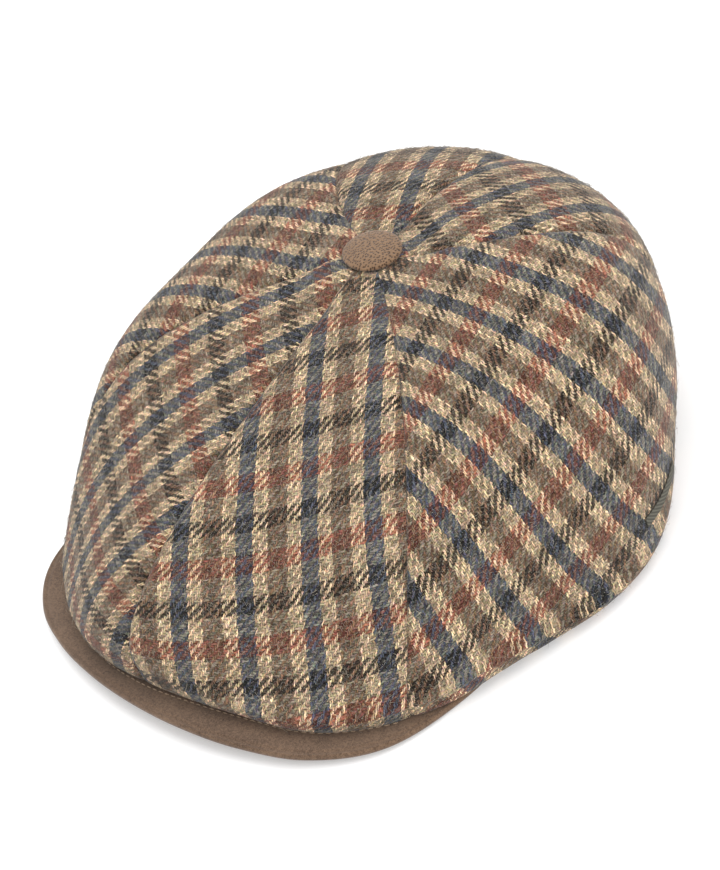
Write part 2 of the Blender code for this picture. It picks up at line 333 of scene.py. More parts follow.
def peak_reach(azimuth):
    """How far the peak stands out from the head hole."""
    return PEAK_DEPTH * row_value(PEAK_ROWS, "reach", PEAK_STEP, fold_angle(azimuth))


def peak_middle(azimuth, share):
    """Height of the middle of the peak's wall, from its root to its edge."""
    rise = PEAK_RISE * row_value(PEAK_ROWS, "rise", PEAK_STEP, fold_angle(azimuth))
    root = PEAK_WALL / 2
    return root + (np.maximum(rise, root) - root) * share


def floor_height(place, table_gap):
    """Lowest z that the crown may have here: on the peak, or above the table."""
    offset_x = place[..., 0]
    offset_y = HEAD_BACK - place[..., 1]
    azimuth = np.arctan2(offset_x, offset_y)
    held = np.minimum(np.abs(azimuth), PEAK_TIP_AZIMUTH)
    reach = peak_reach(held)
    beyond = np.hypot(offset_x, offset_y) - head_radius(azimuth)
    share = np.clip(beyond / reach, 0.0, 1.0)
    tip = np.abs(azimuth) - PEAK_TIP_AZIMUTH - PEAK_TIP_MARGIN
    inside = 1 - smooth((beyond - reach - PEAK_MARGIN) / PEAK_FADE)
    inside = inside * (1 - smooth(tip / PEAK_TIP_FADE))
    peak_top = peak_middle(held, share) + PEAK_WALL / 2 + PEAK_SEAT_GAP
    return table_gap + (np.maximum(peak_top, table_gap) - table_gap) * inside


def crown_edge(azimuth):
    """Widest points of the crown at azimuths round the cap's middle."""
    angle = fold_angle(azimuth)
    length = np.where(angle < math.pi / 2, CROWN_FRONT, CROWN_BACK)
    ellipse = np.hypot(length * np.cos(angle), CROWN_HALF_WIDTH * np.sin(angle))
    reach = ellipse * row_value(CROWN_ROWS, "reach", CROWN_STEP, angle)
    z = CROWN_HEIGHT * row_value(CROWN_ROWS, "edge", CROWN_STEP, angle)
    return points(reach * np.sin(azimuth), -reach * np.cos(azimuth), z)


def dome_point(azimuth, share):
    """Points of the dome, from the button at 0 to the edge at 1."""
    edge = crown_edge(azimuth)
    top = np.array((0, CROWN_TOP_BACK, CROWN_HEIGHT))
    angle = fold_angle(azimuth)
    near = row_value(CROWN_ROWS, "near", CROWN_STEP, angle)[..., None]
    far = row_value(CROWN_ROWS, "far", CROWN_STEP, angle)[..., None]
    full = row_value(CROWN_ROWS, "full", CROWN_STEP, angle)
    run = edge - top
    run[..., 2] = 0
    length = np.linalg.norm(run, axis=-1)
    tilt = np.zeros_like(run)
    tilt[..., 2] = math.tan(CROWN_TOP_TILT) * run[..., 1]
    near_point = top + near * (run + tilt)
    far_point = top + far * run
    far_point[..., 2] = edge[..., 2] + full * (top[2] - edge[..., 2])
    t = share[..., None]
    left = 1 - t
    start = top * left**3 + near_point * 3 * left * left * t
    return start + far_point * 3 * left * t * t + edge * t**3


def section_point(azimuth, along):
    """Points of the crown's outer face without the swell of its panels."""
    azimuth, along = np.broadcast_arrays(azimuth, along)
    edge = crown_edge(azimuth)
    inward = unit(points(-edge[..., 0], CROWN_TOP_BACK - edge[..., 1], 0.0))
    lip_end = edge + inward * LIP_TURN
    lip_end[..., 2] = np.maximum(edge[..., 2] - LIP_DROP, floor_height(lip_end, LIP_LIFT))
    dome = dome_point(azimuth, np.clip(along, 0, DOME_END))
    turn = np.clip(along - DOME_END, 0, 1) * math.pi / 2
    lip = edge + inward * (LIP_TURN * (1 - np.cos(turn)))[..., None]
    lip[..., 2] = edge[..., 2] - (edge[..., 2] - lip_end[..., 2]) * np.sin(turn)
    head_azimuth = np.arctan2(edge[..., 0], HEAD_BACK - edge[..., 1])
    rim = head_radius(head_azimuth)
    hem_outer = head_point(head_azimuth, rim + HEM_WIDTH, 0.0)
    hem_outer[..., 2] = floor_height(hem_outer, 0)
    share = np.clip(along - LIP_END, 0, 1)
    under = lip_end + (hem_outer - lip_end) * share[..., None]
    sag = lip_end[..., 2] + (hem_outer[..., 2] - lip_end[..., 2]) * smooth(share)
    under[..., 2] = np.maximum(sag, floor_height(under, 0))
    hem_inner = head_point(head_azimuth, rim, hem_outer[..., 2])
    hem = hem_outer + (hem_inner - hem_outer) * np.clip(along - UNDER_END, 0, 1)[..., None]
    stand = hem_inner.copy()
    stand[..., 2] += HEM_STAND * np.clip(along - HEM_END, 0, 1)
    stage = along[..., None]
    result = np.where(stage <= HEM_END, hem, stand)
    result = np.where(stage <= UNDER_END, under, result)
    result = np.where(stage <= LIP_END, lip, result)
    return np.where(stage <= DOME_END, dome, result)


def panel_azimuth(index, across, along):
    """Azimuths inside a panel, from 0 at its front seam to 1 at its back seam."""
    share = np.minimum(along, DOME_END)
    front_top, front_edge = SEAMS[index]
    back_top, back_edge = SEAMS[index + 1]
    start = np.radians(front_top + (front_edge - front_top) * share)
    end = np.radians(back_top + (back_edge - back_top) * share)
    return start + (end - start) * across


def outer_normal(azimuth, along):
    """Directions that point out of the crown's face."""
    before = section_point(azimuth, np.maximum(along - NORMAL_STEP, 0.0))
    after = section_point(azimuth, along + NORMAL_STEP)
    left = section_point(azimuth - NORMAL_STEP, along)
    right = section_point(azimuth + NORMAL_STEP, along)
    return unit(np.cross(after - before, right - left))


def raised_point(azimuth, along, across, rise, fade=1.0):
    """Points of the crown's outer face with a panel's broad swell, and raised a little more."""
    swell = PANEL_SWELL * (1 - np.abs(2 * across - 1) ** SWELL_POWER) - SEAM_SINK
    swell = ((swell + rise) * fade)[..., None]
    return section_point(azimuth, along) + outer_normal(azimuth, along) * swell


def plain_panel(index, rows, columns):
    """Grid of a panel's points with its broad swell."""
    across, along = np.meshgrid(columns, rows)
    azimuth = panel_azimuth(index, across, along)
    fade = smooth(along / SWELL_START) * (1 - smooth(along - DOME_END))
    return raised_point(azimuth, along, across, 0.0, fade)


def edge_offset(azimuth):
    """How far the front edge lies outside its even shape, for signed azimuths."""
    return row_value(EDGE_ROWS, "offset", EDGE_STEP, np.maximum(azimuth - EDGE_START, 0.0)) * MM


def settle(grid, azimuth, along):
    """Lay the even cloth as it lies in the photo: its front edge and under the button."""
    weight = smooth((along - EDGE_RISES_FROM) / (DOME_END - EDGE_RISES_FROM))
    weight = weight * (1 - smooth(along - LIP_END))
    offset = edge_offset(azimuth) * weight
    turned = 1 - np.cos(np.clip(along - DOME_END, 0, 1) * math.pi / 2)
    front = 1 - smooth((np.abs(azimuth) - TURN_FADE_START) / TURN_FADE)
    outward = offset + TURN_LET_OUT * turned * front * (1 - smooth(along - LIP_END))
    moved = grid + points(outward * np.sin(azimuth), -outward * np.cos(azimuth), 0.0)
    low = floor_height(moved, 0.0) + LIP_LIFT * weight * (np.abs(azimuth) > PEAK_TIP_AZIMUTH)
    dropped = np.maximum(moved[..., 2] - EDGE_DROP * np.maximum(offset, 0), low)
    moved[..., 2] = np.where(weight > 0, dropped, moved[..., 2])
    back = moved[..., 1] - CROWN_TOP_BACK
    from_top = np.hypot(moved[..., 0], back)
    share = 1 - smooth((from_top - BUTTON_LEAN_FULL) / (BUTTON_LEAN_END - BUTTON_LEAN_FULL))
    lean = BUTTON_LEAN_LEFT * moved[..., 0] + BUTTON_LEAN_BACK * back
    moved[..., 2] -= lean * share * (along <= DOME_END)
    return moved


def turned(pairs, cos, sin):
    """Pairs of numbers turned by the angle with this cosine and sine."""
    x, y = pairs[..., 0], pairs[..., 1]
    return np.stack((cos * x - sin * y, sin * x + cos * y), -1)


def flatten(grid):
    """Flat pattern of a grid of points that keeps its lengths and angles best."""
    rows, columns, _ = grid.shape
    count = rows * columns
    a, b, c, d = grid_quads(rows, columns).T
    triangles = np.concatenate([np.stack((a, b, c), 1), np.stack((a, c, d), 1)])
    place = grid.reshape(-1, 3)
    first = place[triangles[:, 1]] - place[triangles[:, 0]]
    second = place[triangles[:, 2]] - place[triangles[:, 0]]
    length = np.linalg.norm(first, axis=1)
    local = np.zeros((len(triangles), 3, 2))
    local[:, 1, 0] = length
    local[:, 2, 0] = (first * second).sum(1) / length
    local[:, 2, 1] = -np.linalg.norm(np.cross(first, second), axis=1) / length
    matrix = np.zeros((count, count))
    sides = []
    for corner in range(3):
        after, before = (corner + 1) % 3, (corner + 2) % 3
        i, j = triangles[:, corner], triangles[:, after]
        u = local[:, corner] - local[:, before]
        v = local[:, after] - local[:, before]
        weight = (u * v).sum(1) / np.abs(u[:, 0] * v[:, 1] - u[:, 1] * v[:, 0]) / 2
        sides.append((i, j, local[:, after] - local[:, corner], weight[:, None]))
        np.add.at(matrix, (i, i), weight)
        np.add.at(matrix, (j, j), weight)
        np.add.at(matrix, (i, j), -weight)
        np.add.at(matrix, (j, i), -weight)
    matrix[0, :] = 0
    matrix[0, 0] = 1
    inverse = np.linalg.inv(matrix)
    middle = columns // 2
    side = running_length(grid, 1)
    down = running_length(grid, 0)[:, middle:middle + 1]
    flat = np.stack(np.broadcast_arrays(side - side[:, middle:middle + 1], down), -1)
    flat = flat.reshape(-1, 2)
    for _ in range(FLAT_ROUNDS):
        spread = np.zeros((len(triangles), 2, 2))
        for i, j, edge, weight in sides:
            moved = (flat[j] - flat[i]) * weight
            spread += moved[:, :, None] * edge[:, None, :]
        angle = np.arctan2(spread[:, 1, 0] - spread[:, 0, 1], spread[:, 0, 0] + spread[:, 1, 1])
        cos, sin = np.cos(angle), np.sin(angle)
        pull = np.zeros((count, 2))
        for i, j, edge, weight in sides:
            share = turned(edge, cos, sin) * weight
            np.add.at(pull, j, share)
            np.add.at(pull, i, -share)
        pull[0] = 0
        flat = inverse @ pull
    flat = flat.reshape(rows, columns, 2)
    flat = flat - flat[0, middle]
    line = flat[-1, middle]
    turn = math.atan2(line[0], line[1])
    return turned(flat, math.cos(turn), math.sin(turn))


def bend_terms(u, v):
    """Terms by which the threads may bend, in units of 100 mm."""
    s, t = u / BEND_UNIT, v / BEND_UNIT
    return np.stack((s * s, s * t, t * t, s**3, s * s * t, s * t * t, t**3), -1)


def weave_coordinates(index, side, turn, warp_place, weft_place, warp_bend, weft_bend,
                      rows, columns):
    """Yarn numbers across and along the cloth at each point of a panel's grid."""
    flat_rows = np.concatenate((np.linspace(CENTRE_HOLE_SHARE, 1, 2 * FLAT_DOME_ROWS)[::2],
                                DOME_END + np.array(FLAT_LIP_PLACES)))
    flat_columns = np.linspace(0, 1, FLAT_COLUMNS)
    flat = flatten(plain_panel(index, flat_rows, flat_columns))
    held = np.minimum(rows, flat_rows[-1])
    uv = []
    for axis in range(2):
        by_row = [np.interp(held, flat_rows, column) for column in flat[..., axis].T]
        uv.append([np.interp(columns, flat_columns, row) for row in np.array(by_row).T])
    uv = np.stack(uv, -1)
    past = running_length(plain_panel(index, rows, columns), 0)[:, PANEL_COLUMNS // 2]
    past = past - np.interp(flat_rows[-1], rows, past)
    uv[..., 1] += np.maximum(past, 0)[:, None]
    uv = uv * (side, -1)
    terms = bend_terms(uv[..., 0], uv[..., 1])
    turn = math.radians(-turn)
    uv = turned(uv, math.cos(turn), math.sin(turn))
    warp = uv[..., 0] - warp_place * MM + terms @ np.array(warp_bend) * MM
    weft = uv[..., 1] - weft_place * MM + terms @ np.array(weft_bend) * MM
    warp = warp / WARP_PITCH + WARP_BANDS[0][1] / 2 + REPEATS_ASIDE * WARP_REPEAT
    weft = weft / WEFT_PITCH + WEFT_BANDS[0][1] / 2 + REPEATS_ASIDE * WEFT_REPEAT
    return np.stack((warp, weft), -1)


def place_object(name, data):
    """New object in the scene."""
    thing = bpy.data.objects.new(name, data)
    bpy.context.scene.collection.objects.link(thing)
    return thing


def new_piece(name, verts, faces, material):
    """Smooth mesh object."""
    mesh = bpy.data.meshes.new(name)
    mesh.from_pydata(verts, [], faces)
    mesh.update()
    mesh.shade_smooth()
    mesh.materials.append(material)
    return place_object(name, mesh)


def sheet_object(name, grid, flip, material):
    """Mesh object with one quad between neighbouring points of a grid."""
    quads = grid_quads(*grid.shape[:2])
    if flip:
        quads = quads[:, ::-1]
    return new_piece(name, grid.reshape(-1, 3).tolist(), quads.tolist(), material)


def add_weave(mesh, uv):
    """Give a sheet's mesh its yarn numbers as a UV map."""
    layer = mesh.uv_layers.new(name="weave")
    loops = np.zeros(len(mesh.loops), np.int32)
    mesh.loops.foreach_get("vertex_index", loops)
    layer.data.foreach_set("uv", uv.reshape(-1, 2)[loops].astype(np.float32).ravel())


def thicken(piece, wall, offset):
    """Give an open surface its wall."""
    solidify = piece.modifiers.new("wall", "SOLIDIFY")
    solidify.thickness = wall
    solidify.offset = offset
    solidify.use_rim = True


def finish_piece(piece, slot, *nodes):
    """Fix a piece to the cap's only body in place of CAD nodes."""
    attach(piece, "root")
    if nodes:
        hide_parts(*nodes)


def crown_rows():
    """Places along a section where a panel's mesh has its rows."""
    dome = np.linspace(CENTRE_HOLE_SHARE, DOME_END, DOME_ROWS)
    lip = DOME_END + np.linspace(0, 1, LIP_ROWS)[1:]
    under = LIP_END + np.linspace(0, 1, UNDER_ROWS)[1:]
    hem = UNDER_END + np.linspace(0, 1, HEM_ROWS)[1:]
    stand = np.linspace(HEM_END, STAND_END, STAND_ROWS)[1:]
    return np.concatenate((dome, lip, under, hem, stand))


def make_panel(name, cloth, fibre):
    """One gore of the crown with its seam valleys and small puckers."""
    index, side, *weave = PANELS[name]
    rows = crown_rows()
    even = np.linspace(0, 1, PANEL_COLUMNS)
    columns = EVEN_SHARE * even + (1 - EVEN_SHARE) * (1 - np.cos(math.pi * even)) / 2
    grid = plain_panel(index, rows, columns)
    uv = weave_coordinates(index, side, *weave, rows, columns)
    across, along = np.meshgrid(columns, rows)
    azimuth = panel_azimuth(index, across, along)
    run = running_length(grid, 1)
    from_seam = np.minimum(run, run[:, -1:] - run)
    length = running_length(grid, 0)
    groove = GROOVE_DEPTH * np.exp(-(from_seam / GROOVE_WIDTH) ** GROOVE_POWER)
    drift = PUCKER_DRIFT * np.sin(length / PUCKER_DRIFT_LENGTH)
    ripple = np.sin(2 * math.pi * length / PUCKER_LENGTH + drift)
    pucker = PUCKER_DEPTH * ripple * np.exp(-from_seam / PUCKER_REACH)
    fade = smooth(length / RELIEF_FADE) * (1 - smooth(along - RELIEF_END))
    normal = outer_normal(azimuth, along)
    grid = grid + normal * ((pucker - groove) * fade)[..., None]
    grid[..., 0] *= side
    grid = settle(grid, azimuth * side, along)
    grid[..., 1] += FRAME_SHIFT
    piece = sheet_object("cloth_" + name, grid, side < 0, cloth)
    add_weave(piece.data, uv)
    thicken(piece, CLOTH_WALL, -1)
    finish_piece(piece, "wool_check", name)
    outer_rows = np.searchsorted(rows, FIBRE_LAST_ROW)
    make_fibres(name, grid[:outer_rows], side, fibre)


def stitch_rings(middle, radius):
    """Points of a short closed stitch, ring by ring round its middle line."""
    forward = unit(middle[-1] - middle[0])
    aside = np.array((forward[1], -forward[0], 0.0))
    turn = 2 * math.pi * np.arange(STITCH_CORNERS) / STITCH_CORNERS
    offset = aside * np.cos(turn)[:, None] + points(0.0, 0.0, np.sin(turn))
    return (middle[:, None] + offset * radius[:, None, None]).reshape(-1, 3)


def tube_faces(base, corners, rings):
    """Side faces of a tube whose points start at a number, ring by ring."""
    faces = []
    for low in range(base, base + (rings - 1) * corners, corners):
        for corner in range(corners):
            after = (corner + 1) % corners
            high = low + corners
            faces.append((low + corner, low + after, high + after, high + corner))
    return faces


def make_stitches(thread):
    """Row of short stitches on the peak, just under the crown's front edge."""
    fine = np.linspace(-STITCH_LAST_AZIMUTH, STITCH_LAST_AZIMUTH, STITCH_ROUTE_POINTS)
    edge = crown_edge(fine)
    inward = unit(points(-edge[:, 0], CROWN_TOP_BACK - edge[:, 1], 0.0))
    outward = points(np.sin(fine), -np.cos(fine), 0.0) * edge_offset(fine)[:, None]
    route = edge + inward * STITCH_INSET + outward
    route[:, 2] = 0
    run = running_length(route, 0)
    share = (1 - np.cos(np.linspace(0, math.pi, STITCH_RINGS))) / 2
    round_end = np.clip(1 - (2 * share - 1) ** 2, STITCH_END, 1)
    radius = STITCH_RADIUS * np.sqrt(round_end)
    verts = []
    faces = []
    for start in np.arange(STITCH_PITCH, run[-1] - STITCH_PITCH, STITCH_PITCH):
        place = start + STITCH_LENGTH * share
        middle = np.stack([np.interp(place, run, route[:, axis]) for axis in range(3)], -1)
        middle[:, 2] = floor_height(middle, 0) - PEAK_SEAT_GAP + radius * STITCH_SINK
        base = len(verts)
        verts.extend(stitch_rings(middle, radius))
        faces.extend(tube_faces(base, STITCH_CORNERS, STITCH_RINGS))
        faces.append(tuple(range(base, base + STITCH_CORNERS))[::-1])
        faces.append(tuple(range(len(verts) - STITCH_CORNERS, len(verts))))
    verts = np.array(verts)
    verts[:, 1] += FRAME_SHIFT
    piece = new_piece("peak_stitches", verts.tolist(), faces, thread)
    finish_piece(piece, "suede")


def make_fibres(name, grid, side, fibre):
    """Stray fibres that lie on the cloth and stand off it, each a thin closed spike."""
    rng = np.random.default_rng(FIBRE_SEED + sorted(PANELS).index(name))
    each = (FIBRES_A_PANEL, 1)
    place = grid[:-1, :-1].reshape(-1, 3)
    first = grid[1:, :-1].reshape(-1, 3) - place
    second = grid[:-1, 1:].reshape(-1, 3) - place
    cross = np.cross(first, second) * side
    area = np.linalg.norm(cross, axis=1)
    cell = rng.choice(len(area), FIBRES_A_PANEL, p=area / area.sum())
    normal = cross[cell] / area[cell, None]
    down, right = rng.random((2, FIBRES_A_PANEL, 1))
    start = place[cell] + first[cell] * down + second[cell] * right
    forward = unit(first[cell])
    aside = np.cross(normal, forward)
    turn = rng.uniform(0, 2 * math.pi, each)
    heading = forward * np.cos(turn) + aside * np.sin(turn)
    bend = np.cross(normal, heading) * rng.uniform(-FIBRE_CURL, FIBRE_CURL, each)
    shortest, longest = FIBRE_LENGTHS
    length = shortest + (longest - shortest) * rng.random(each) ** 2
    lift = rng.uniform(*FIBRE_LIFT, each)
    verts = []
    for step in FIBRE_STEPS:
        along = heading * step + bend * step * step + normal * lift * math.sin(FIBRE_ARCH * step)
        middle = start + along * length - normal * FIBRE_WIDTH / 2
        if step == 1:
            verts.append(middle)
            break
        width = FIBRE_WIDTH / 2 * (1 - step / 2)
        for corner in range(FIBRE_CORNERS):
            angle = 2 * math.pi * corner / FIBRE_CORNERS
            edge = np.cross(normal, heading) * math.cos(angle) + normal * math.sin(angle)
            verts.append(middle + edge * width)
    verts = np.stack(verts, 1)
    tip = verts.shape[1] - 1
    last = tip - FIBRE_CORNERS
    faces = [(0, 2, 1)] + tube_faces(0, FIBRE_CORNERS, len(FIBRE_STEPS) - 1)
    for corner in range(FIBRE_CORNERS):
        faces.append((last + corner, last + (corner + 1) % FIBRE_CORNERS, tip))
    every = [tuple(corner + verts.shape[1] * strand for corner in face)
             for strand in range(FIBRES_A_PANEL) for face in faces]
    piece = new_piece("wool_fibres_" + name, verts.reshape(-1, 3).tolist(), every, fibre)
    finish_piece(piece, "wool_check")


def make_peak(suede):
    """Stiff crescent with a rounded rim and a fine seam along it."""
    azimuth = np.linspace(-PEAK_TIP_AZIMUTH, PEAK_TIP_AZIMUTH, PEAK_COLUMNS)
    reach = peak_reach(azimuth)
    half = PEAK_WALL / 2
    flat = reach - np.minimum(half, reach / 2)
    top = np.linspace(0, 1, PEAK_TOP_ROWS) ** PEAK_ROW_POWER
    loops = []
    for share in top:
        loops.append((flat * share, np.full_like(reach, half)))
    for step in range(1, PEAK_RIM_ROWS):
        turn = math.pi * step / PEAK_RIM_ROWS
        height = np.full_like(reach, half * math.cos(turn))
        loops.append((flat + (reach - flat) * math.sin(turn), height))
    for share in top[::-1]:
        loops.append((flat * share, np.full_like(reach, -half)))
    grid = []
    for run, height in loops:
        rise = peak_middle(azimuth, run / reach) + height
        seam = np.exp(-((flat + half - run - PEAK_EDGE_SEAM) / PEAK_EDGE_WIDTH) ** 2)
        rise = rise - PEAK_EDGE_DEPTH * seam * np.sign(height) * smooth(reach / PEAK_EDGE_FADE)
        grid.append(head_point(azimuth, head_radius(azimuth) + run, rise))
    grid.append(grid[0])
    grid = np.array(grid)
    grid[..., 1] += FRAME_SHIFT
    piece = sheet_object("suede_peak", grid, False, suede)
    finish_piece(piece, "suede", "peak")


def make_button(suede):
    """Covered button, a low dome gathered round its edge."""
    turn = np.linspace(0, 2 * math.pi, BUTTON_COLUMNS + 1)
    loops = []
    for share in np.linspace(BUTTON_CENTRE, 1, BUTTON_RINGS):
        angle = share * math.pi / 2
        radius = BUTTON_RADIUS * math.sin(angle) ** BUTTON_ROUND_POWER
        crown = (BUTTON_HEIGHT - BUTTON_RIM) * math.cos(angle) ** BUTTON_FLAT_POWER
        loops.append((radius, BUTTON_RIM + crown))
    for share in np.linspace(0, 1, BUTTON_SIDE_RINGS)[1:]:
        radius = BUTTON_RADIUS * (1 - BUTTON_UNDERCUT * share * share)
        loops.append((radius, BUTTON_RIM * (1 - share)))
    grid = [points(0.0 * turn, 0.0 * turn, BUTTON_HEIGHT)]
    for radius, z in loops:
        gathered = smooth((radius / BUTTON_RADIUS - GATHER_START) / (1 - GATHER_START))
        wave = 1 + GATHER_DEPTH * np.sin(GATHER_COUNT * turn + 1) * gathered
        grid.append(points(radius * wave * np.cos(turn), radius * wave * np.sin(turn), z))
    grid.append(points(0.0 * turn, 0.0 * turn, 0.0))
    piece = sheet_object("covered_button", np.array(grid), False, suede)
    slope_back = math.tan(CROWN_TOP_TILT) - BUTTON_LEAN_BACK
    upright = Vector((BUTTON_LEAN_LEFT, -slope_back, 1)).normalized()
    tilt = upright.to_track_quat("Z", "Y").to_matrix().to_4x4()
    top = Vector((0, CROWN_TOP_BACK + FRAME_SHIFT, CROWN_HEIGHT))
    seat = top + tilt @ Vector((0, 0, BUTTON_LIFT))
    piece.data.transform(Matrix.Translation(seat) @ tilt)
    finish_piece(piece, "button_suede", "button")


def make_label(tape):
    """Plain narrow tag sewn flat above the crown's edge on the left side."""
    reach = np.linalg.norm(crown_edge(np.array(LABEL_AZIMUTH)))
    half = LABEL_LENGTH / 2 / reach
    aside, row = np.meshgrid(np.linspace(-1, 1, LABEL_COLUMNS),
                             np.linspace(-0.5, 0.5, LABEL_ROWS))
    azimuth = LABEL_AZIMUTH + half * aside
    along = LABEL_ALONG + LABEL_SHARE * row + LABEL_SLANT * aside
    start = panel_azimuth(1, 0.0, along)
    end = panel_azimuth(1, 1.0, along)
    across = (azimuth - start) / (end - start)
    grid = raised_point(azimuth, along, across, LABEL_GAP)
    grid[..., 1] += FRAME_SHIFT
    piece = sheet_object("side_label", grid, False, tape)
    thicken(piece, LABEL_WALL, 1)
    finish_piece(piece, "label_cloth", "label")


def put(node, **values):
    """Set inputs of a node to constants."""
    for name, value in values.items():
        node.inputs[name.replace("_", " ")].default_value = value


class Graph:
    """Short way to write a material's nodes."""

    def __init__(self, name):
        self.material = bpy.data.materials.new(name)
        self.material.use_nodes = True
        self.tree = self.material.node_tree
        self.shader = self.tree.nodes["Principled BSDF"]

    def link(self, value, socket):
        """Plug a node's output in, or set a number or colour."""
        if isinstance(value, bpy.types.NodeSocket):
            self.tree.links.new(value, socket)
        else:
            socket.default_value = value

    def node(self, kind, **settings):
        """New node with its settings."""
        node = self.tree.nodes.new(kind)
        for key, value in settings.items():
            setattr(node, key, value)
        return node

    def math(self, operation, first, second=0.0, third=0.0):
        """Result of a math node."""
        node = self.node("ShaderNodeMath", operation=operation)
        for socket, value in zip(node.inputs, (first, second, third)):
            self.link(value, socket)
        return node.outputs[0]

    def line(self, value, scale, shift):
        """Number times one number plus another."""
        return self.math("MULTIPLY_ADD", value, scale, shift)

    def times(self, first, second):
        """Product of two numbers."""
        return self.math("MULTIPLY", first, second)

    def within(self, value, low, high):
        """Number held between two bounds."""
        return self.math("MINIMUM", self.math("MAXIMUM", value, low), high)

    def wave(self, scale):
        """Slanting ribs from 0 to 1."""
        node = self.node("ShaderNodeTexWave", bands_direction="DIAGONAL")
        self.link(self.place(), node.inputs["Vector"])
        put(node, Scale=scale)
        return node.outputs["Fac"]

    def mix(self, share, first, second, blend="MIX"):
        """Mix of two colours."""
        node = self.node("ShaderNodeMix", data_type="RGBA", blend_type=blend)
        self.link(share, node.inputs[0])
        self.link(first, node.inputs[6])
        self.link(second, node.inputs[7])
        return node.outputs[2]

    def combine(self, x, y, z=0.0):
        """Vector from three numbers."""
        node = self.node("ShaderNodeCombineXYZ")
        for socket, value in zip(node.inputs, (x, y, z)):
            self.link(value, socket)
        return node.outputs[0]

    def noise(self, vector, scale, detail=2.0, roughness=0.5, output="Fac"):
        """Noise from 0 to 1, or with the output Color one that differs by channel."""
        node = self.node("ShaderNodeTexNoise")
        self.link(vector, node.inputs["Vector"])
        put(node, Scale=scale, Detail=detail, Roughness=roughness)
        return node.outputs[output]

    def random(self, vector):
        """Random number from 0 to 1 for each vector."""
        node = self.node("ShaderNodeTexWhiteNoise", noise_dimensions="2D")
        self.link(vector, node.inputs["Vector"])
        return node.outputs["Value"]

    def choose(self, share, on, off):
        """Number that is on where the share is 1 and off where it is 0."""
        node = self.node("ShaderNodeMix", data_type="FLOAT")
        self.link(share, node.inputs[0])
        self.link(off, node.inputs[2])
        self.link(on, node.inputs[3])
        return node.outputs[0]

    def scale_shift(self, colour, scale, shift):
        """Colour times one number plus another."""
        node = self.node("ShaderNodeVectorMath", operation="MULTIPLY_ADD")
        self.link(colour, node.inputs[0])
        self.link(self.combine(scale, scale, scale), node.inputs[1])
        self.link(self.combine(shift, shift, shift), node.inputs[2])
        return node.outputs[0]

    def wobble(self, value, where, waves):
        """Number moved about by noises of (scale, size)."""
        for scale, size in waves:
            drift = self.math("SUBTRACT", self.noise(where, scale), 0.5)
            value = self.line(drift, size, value)
        return value

    def place(self):
        """Position on the piece in metres."""
        return self.node("ShaderNodeTexCoord").outputs["Object"]

    def ramp(self, value, stops, interpolation="LINEAR"):
        """Colour by stops of (place, colour)."""
        node = self.node("ShaderNodeValToRGB")
        node.color_ramp.interpolation = interpolation
        elements = node.color_ramp.elements
        while len(elements) < len(stops):
            elements.new(0.5)
        for element, (place, colour) in zip(elements, stops):
            element.position = place
            element.color = (*colour, 1)
        self.link(value, node.inputs[0])
        return node.outputs[0]

    def bump(self, height, distance, strength=1.0):
        """Normal for the shader from a height in units of the distance."""
        node = self.node("ShaderNodeBump")
        put(node, Strength=strength, Distance=distance)
        self.link(height, node.inputs["Height"])
        self.link(node.outputs[0], self.shader.inputs["Normal"])

    def finish(self, colour, roughness, **constants):
        """Set the shader's inputs."""
        self.link(colour, self.shader.inputs["Base Color"])
        self.link(roughness, self.shader.inputs["Roughness"])
        put(self.shader, **constants)
        return self.material


def linear(*display):
    """Linear colour from display values of 11 to 255."""
    return (*(((value / 255 + 0.055) / 1.055) ** 2.4 for value in display), 1)


# Linear colours of the dyed yarns
YARNS = {
    "blue": (0.049, 0.054, 0.072),
    "cream": (0.425, 0.310, 0.200),
    "taupe": (0.132, 0.079, 0.050),
    "dark": (0.047, 0.044, 0.038),
    "sand": (0.235, 0.214, 0.168),
    "rust": (0.185, 0.086, 0.066),
}
STRAY_FIBRE = (0.37, 0.34, 0.28, 1)
# How much of a float's colour is kept whatever it crosses, and how much more comes with the colour
# of the yarn it crosses: partly a tinge of that yarn's fibres and partly painted shade, a float
# beside dark yarns being darkened
WARP_OWN, WARP_TINGE_AND_SHADE = 0.8, 0.6
WEFT_OWN, WEFT_TINGE_AND_SHADE = 0.45, 1.5
# Suede: its noises as scale, detail and roughness, their shares in its colour, how much of
# its relief is nap, and the pits of the button's grain
SUEDE_CLOUD_NOISE = (55.0, 4.0, 0.6)
NAP_NOISE = (900.0, 3.0, 0.7)
GRAIN_NOISE = (2300.0, 2.0, 0.6)
SUEDE_CLOUD_SHARE, NAP_SHARE, GRAIN_SHARE, SUEDE_SHIFT = 0.8, 1.4, 1.6, -1.4
NAP_RELIEF = 0.6
SUEDE_RELIEF = 0.15 * MM
PIT_SCALE = 1000.0
PIT_STRETCH = (1.0, 0.75, 1.0)
PIT_TURN = 0.5
PIT_SHARE = (-5.0, 1.95)
PIT_MOST = 0.95
# Stray fibres, sewing thread and tape
WOOL_NOISE = (260.0, 2.0, 0.8)
WOOL_SHARE = (3.0, -1.0)
WOOL_DARK = (0.12, 0.11, 0.11, 1)
WOOL_LIGHT = (0.50, 0.44, 0.34, 1)
THREAD_TWIST = 900.0
TAPE_RIBS = 420.0
TAPE_NOISE = 1500.0
# Share of the tape's colour that follows its ribs as painted shade, the rest random blotches
TAPE_RIB_SHADE = 0.6
# Yarns after which the twill repeats, and half of that
TWILL, TWILL_HALF = 4.0, 2.0
# Half the length of a float, in yarns that it crosses, how much it varies, the share of its
# yarn's width that a warp float fills, how square a float's outline is, and how high the
# weft lies beside the warp, which also sets how much painted shade darkens the weft
WARP_FLOAT_HALF = 1.38
WARP_FLOAT_SPREAD = 0.4
WARP_FLOAT_WIDTH = 0.9
WEFT_FLOAT_HALF = 1.3
FLOAT_POWER = 2.3
WEFT_LEVEL = 0.85
# Yarns that a warp float slips aside for each yarn that it crosses
WARP_LEAN = 0.26
